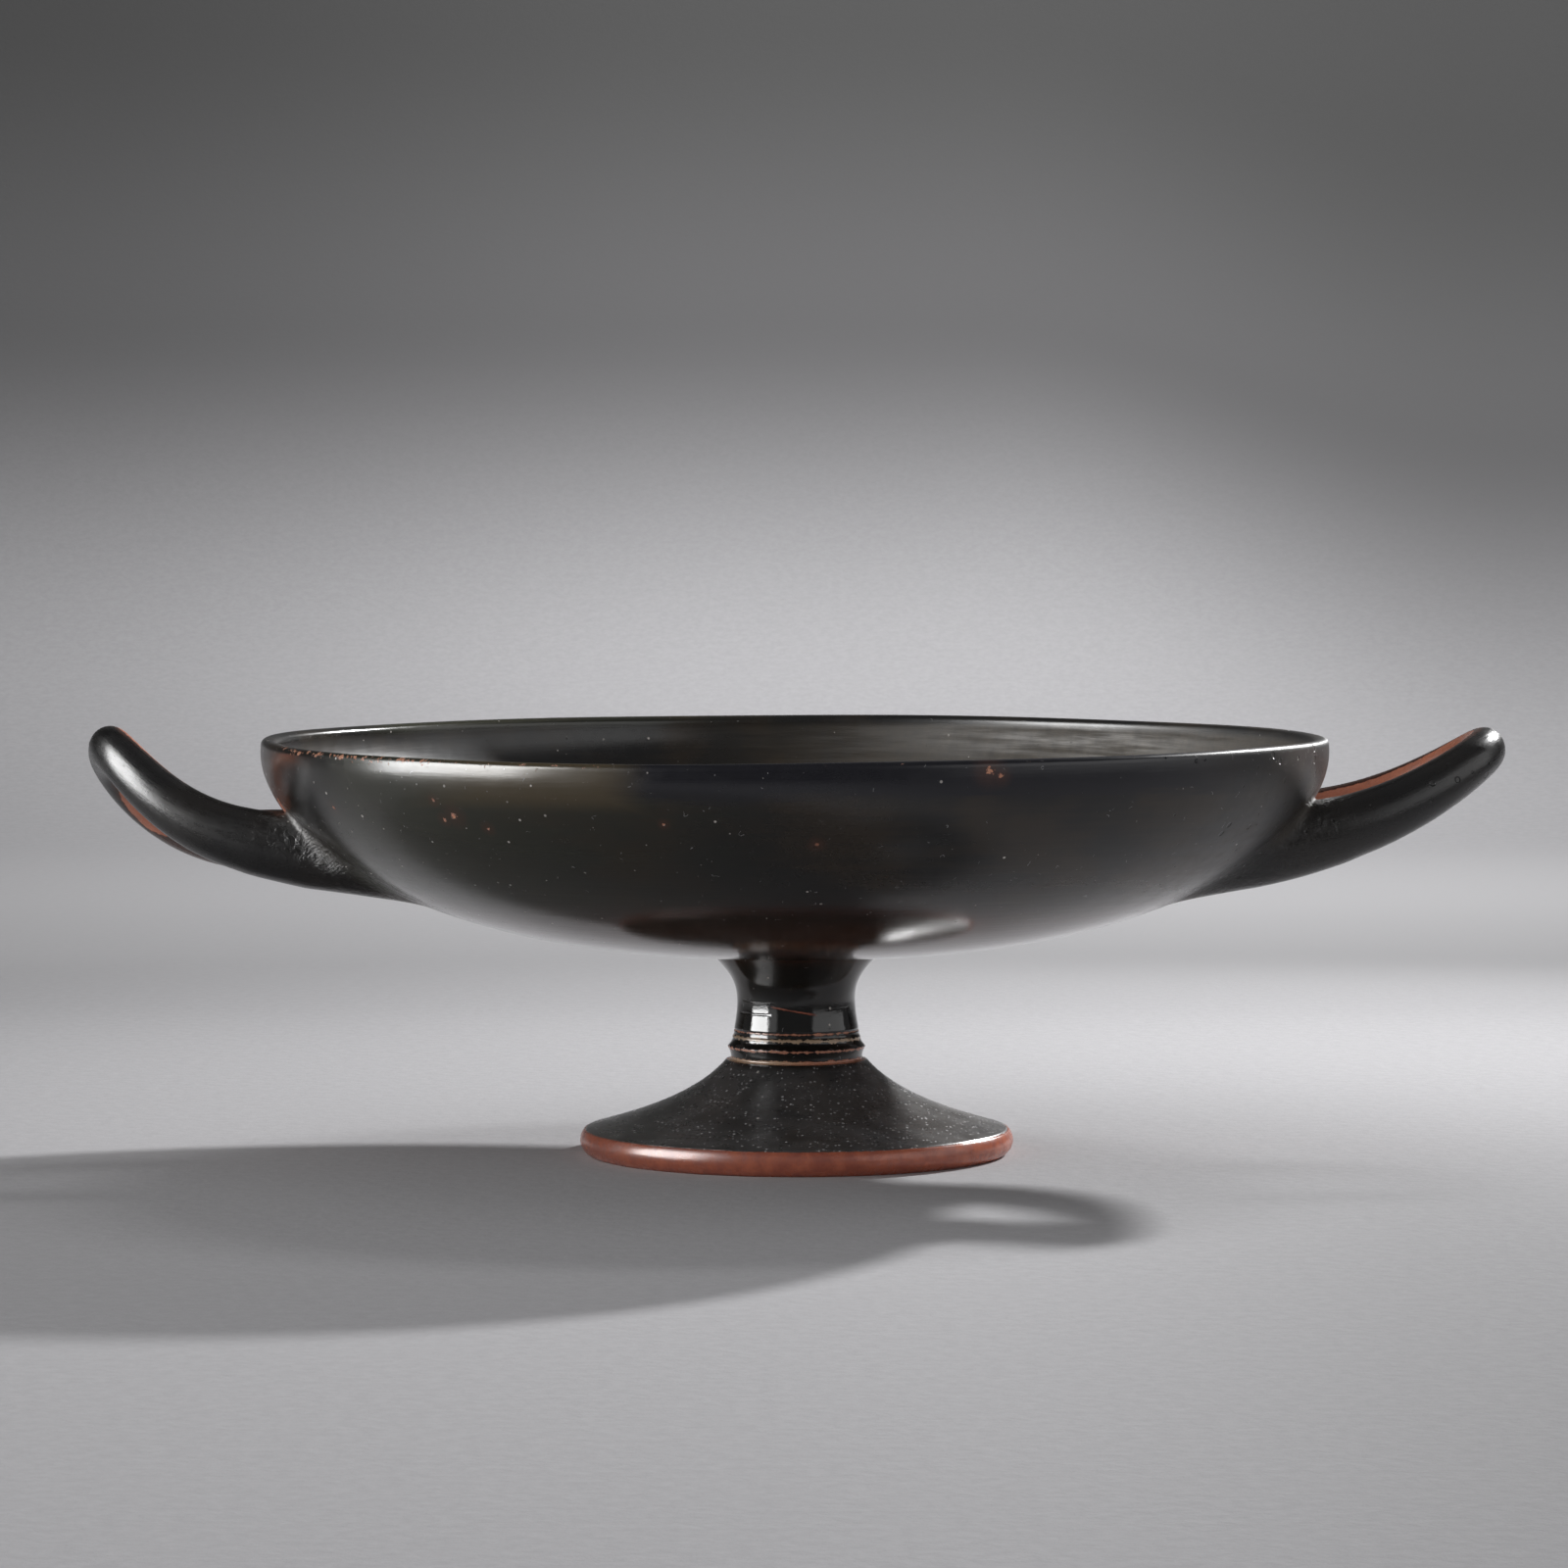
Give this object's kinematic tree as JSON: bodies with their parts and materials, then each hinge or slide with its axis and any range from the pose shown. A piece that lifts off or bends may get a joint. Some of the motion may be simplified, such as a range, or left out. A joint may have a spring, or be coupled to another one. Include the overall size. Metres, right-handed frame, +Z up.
{
  "type": "kylix cup",
  "caption": "Shallow stemmed drinking cup of black-glazed fired clay, with a wide bowl, a plain lip, a disc foot and an upturned loop handle on each side.",
  "frame": {"origin": "on the surface the foot rests on, below the middle of the bounding box, which is the cup's turning axis to within 0.2 mm", "axes": "+X towards the handle at the right of the picture, -Y towards the viewer of the picture, +Z up along the cup's turning axis"},
  "size_m": [0.2588, 0.1944, 0.0786],
  "materials": {
    "black_gloss_clay": "glossy black slip over orange-red clay, worn at lip, foot edge bare"
  },
  "bodies": {
    "root": {"kylix_cup": "black_gloss_clay"}
  },
  "joints": []
}
